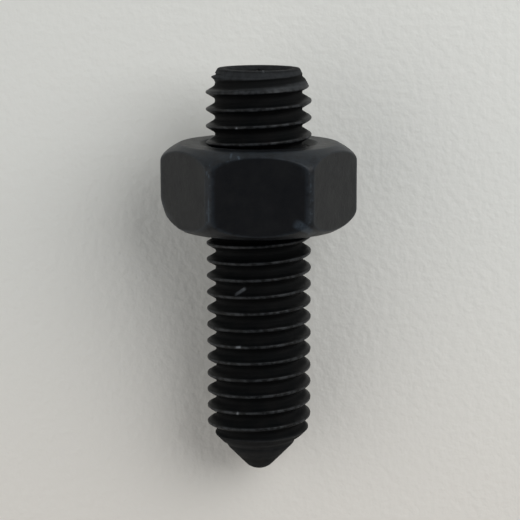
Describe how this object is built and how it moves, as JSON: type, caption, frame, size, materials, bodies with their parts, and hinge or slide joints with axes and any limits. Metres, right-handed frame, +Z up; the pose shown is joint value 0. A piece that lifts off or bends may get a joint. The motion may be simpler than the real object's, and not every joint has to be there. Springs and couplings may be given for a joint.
{
  "type": "grub screw with nut",
  "caption": "Black grub screw with a cone point and hexagon socket, lying on its side with a hexagon nut run onto its coarse right-hand thread.",
  "frame": {"origin": "middle of the part's box, on the surface that it lies on", "axes": "+X along the screw from its cone towards its socket end, +Z up, +Y to the side. The screw's own axis rises 9.14 degrees from +X towards +Z, because the part lies on the nut's lower flat and on the first crest beside the cone"},
  "size_m": [0.0306, 0.0146, 0.0136],
  "materials": {
    "grub_screw": "black oxide, lightly oiled, bare on a few crests",
    "hex_nut": "black oxide over a forged surface, worn at the corners"
  },
  "bodies": {
    "screw": {"grub_screw": "grub_screw"},
    "nut": {"hex_nut": "hex_nut"}
  },
  "joints": [
    {"name": "nut_travel", "type": "slide", "parent": "screw", "child": "nut", "axis": [0.9873, 0, 0.1589], "range_m": [-0.015, 0.005]}
  ]
}
